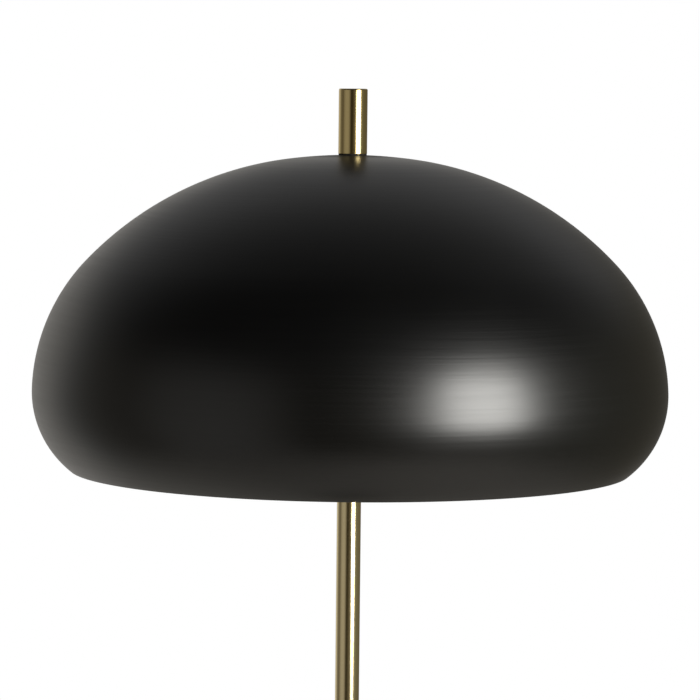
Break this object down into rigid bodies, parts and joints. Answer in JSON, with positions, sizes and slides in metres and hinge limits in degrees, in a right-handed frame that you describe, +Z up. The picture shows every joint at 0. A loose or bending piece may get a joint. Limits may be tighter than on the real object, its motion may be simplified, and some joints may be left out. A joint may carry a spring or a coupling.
{
  "type": "floor lamp",
  "caption": "Floor lamp with a spun metal mushroom dome shade, a brass tube stem and cylinder finial, and a round weighted base.",
  "frame": {"origin": "middle of the underside of the base, on the floor", "axes": "+Z up along the stem; -Y is the front, +Y is the back with the cord inlet"},
  "size_m": [0.4199, 0.4198, 1.5],
  "materials": {
    "black_enamel": "satin black powder coat",
    "shade_enamel": "satin black outside, satin white inside",
    "brushed_brass": "satin polished, clear lacquer",
    "polished_brass": "turned, clear lacquer",
    "bare_brass": "bright stamped",
    "zinc_steel": "zinc plated",
    "raw_iron": "primed casting",
    "black_rubber": "matt",
    "black_fibre": "matt fibre",
    "black_moulding": "moulded phenolic",
    "liner_board": "insulating board",
    "lead_insulation": "soft insulation",
    "connector_nylon": "nylon",
    "opal_glass": "opal white, opaque",
    "cap_aluminium": "rolled thread",
    "black_glass": "vitrite"
  },
  "bodies": {
    "root": {"base_pad": "black_rubber", "base_weight": "raw_iron", "base_cover": "black_enamel", "cord_grommet": "black_moulding", "base_washer": "zinc_steel", "base_lock_washer": "zinc_steel", "base_nut": "zinc_steel", "foot_nipple": "zinc_steel", "foot_collar": "polished_brass", "stem_lower": "brushed_brass", "stem_middle": "brushed_brass", "stem_upper": "brushed_brass", "stem_inserts": "zinc_steel", "stem_joint_nipples": "zinc_steel", "cluster_nipple": "zinc_steel", "cluster_nut": "zinc_steel", "cluster_body": "polished_brass", "cluster_lid": "polished_brass", "arm_nipples": "zinc_steel", "wire_connectors": "connector_nylon", "socket_leads": "lead_insulation", "rod_nut": "zinc_steel", "shade_rod": "zinc_steel", "neck_tube": "brushed_brass", "shade_seat": "zinc_steel", "shade_gasket": "black_fibre", "shade": "shade_enamel", "socket_cap_left": "bare_brass", "socket_cap_right": "bare_brass", "socket_shell_left": "bare_brass", "socket_shell_right": "bare_brass", "socket_liner_left": "liner_board", "socket_liner_right": "liner_board", "switch_body_left": "black_moulding", "switch_body_right": "black_moulding", "screw_shell_left": "bare_brass", "screw_shell_right": "bare_brass", "centre_contact_left": "bare_brass", "centre_contact_right": "bare_brass"},
    "finial_washer": {"finial_washer": "black_fibre"},
    "finial": {"finial": "brushed_brass"},
    "knob_left": {"switch_shaft_left": "bare_brass", "switch_knob_left": "black_moulding"},
    "knob_right": {"switch_shaft_right": "bare_brass", "switch_knob_right": "black_moulding"},
    "bulb_left": {"bulb_cap_left": "cap_aluminium", "bulb_globe_left": "opal_glass", "bulb_insulator_left": "black_glass", "bulb_contact_left": "bare_brass"},
    "bulb_right": {"bulb_cap_right": "cap_aluminium", "bulb_globe_right": "opal_glass", "bulb_insulator_right": "black_glass", "bulb_contact_right": "bare_brass"}
  },
  "joints": [
    {"name": "finial_turn", "type": "hinge", "parent": "root", "child": "finial_washer", "pos_m": [0, 0, 1.4571], "axis": [0, 0, 1], "range_deg": [0, 5040]},
    {"name": "finial_lift", "type": "slide", "parent": "finial_washer", "child": "finial", "axis": [0, 0, 1], "range_m": [0, 0.014]},
    {"name": "knob_left_turn", "type": "hinge", "parent": "root", "child": "knob_left", "pos_m": [-0.05288, 0, 1.34777], "axis": [0, -1, 0], "continuous": true},
    {"name": "knob_right_turn", "type": "hinge", "parent": "root", "child": "knob_right", "pos_m": [0.05288, 0, 1.34777], "axis": [0, -1, 0], "continuous": true},
    {"name": "bulb_left_unscrew", "type": "slide", "parent": "root", "child": "bulb_left", "axis": [-0.866, 0, -0.5], "range_m": [0, 0.028]},
    {"name": "bulb_right_unscrew", "type": "slide", "parent": "root", "child": "bulb_right", "axis": [0.866, 0, -0.5], "range_m": [0, 0.028]}
  ],
  "couplings": [
    {"joint": "finial_lift", "follows": "finial_turn", "m_per_rad": 0.00015915}
  ]
}
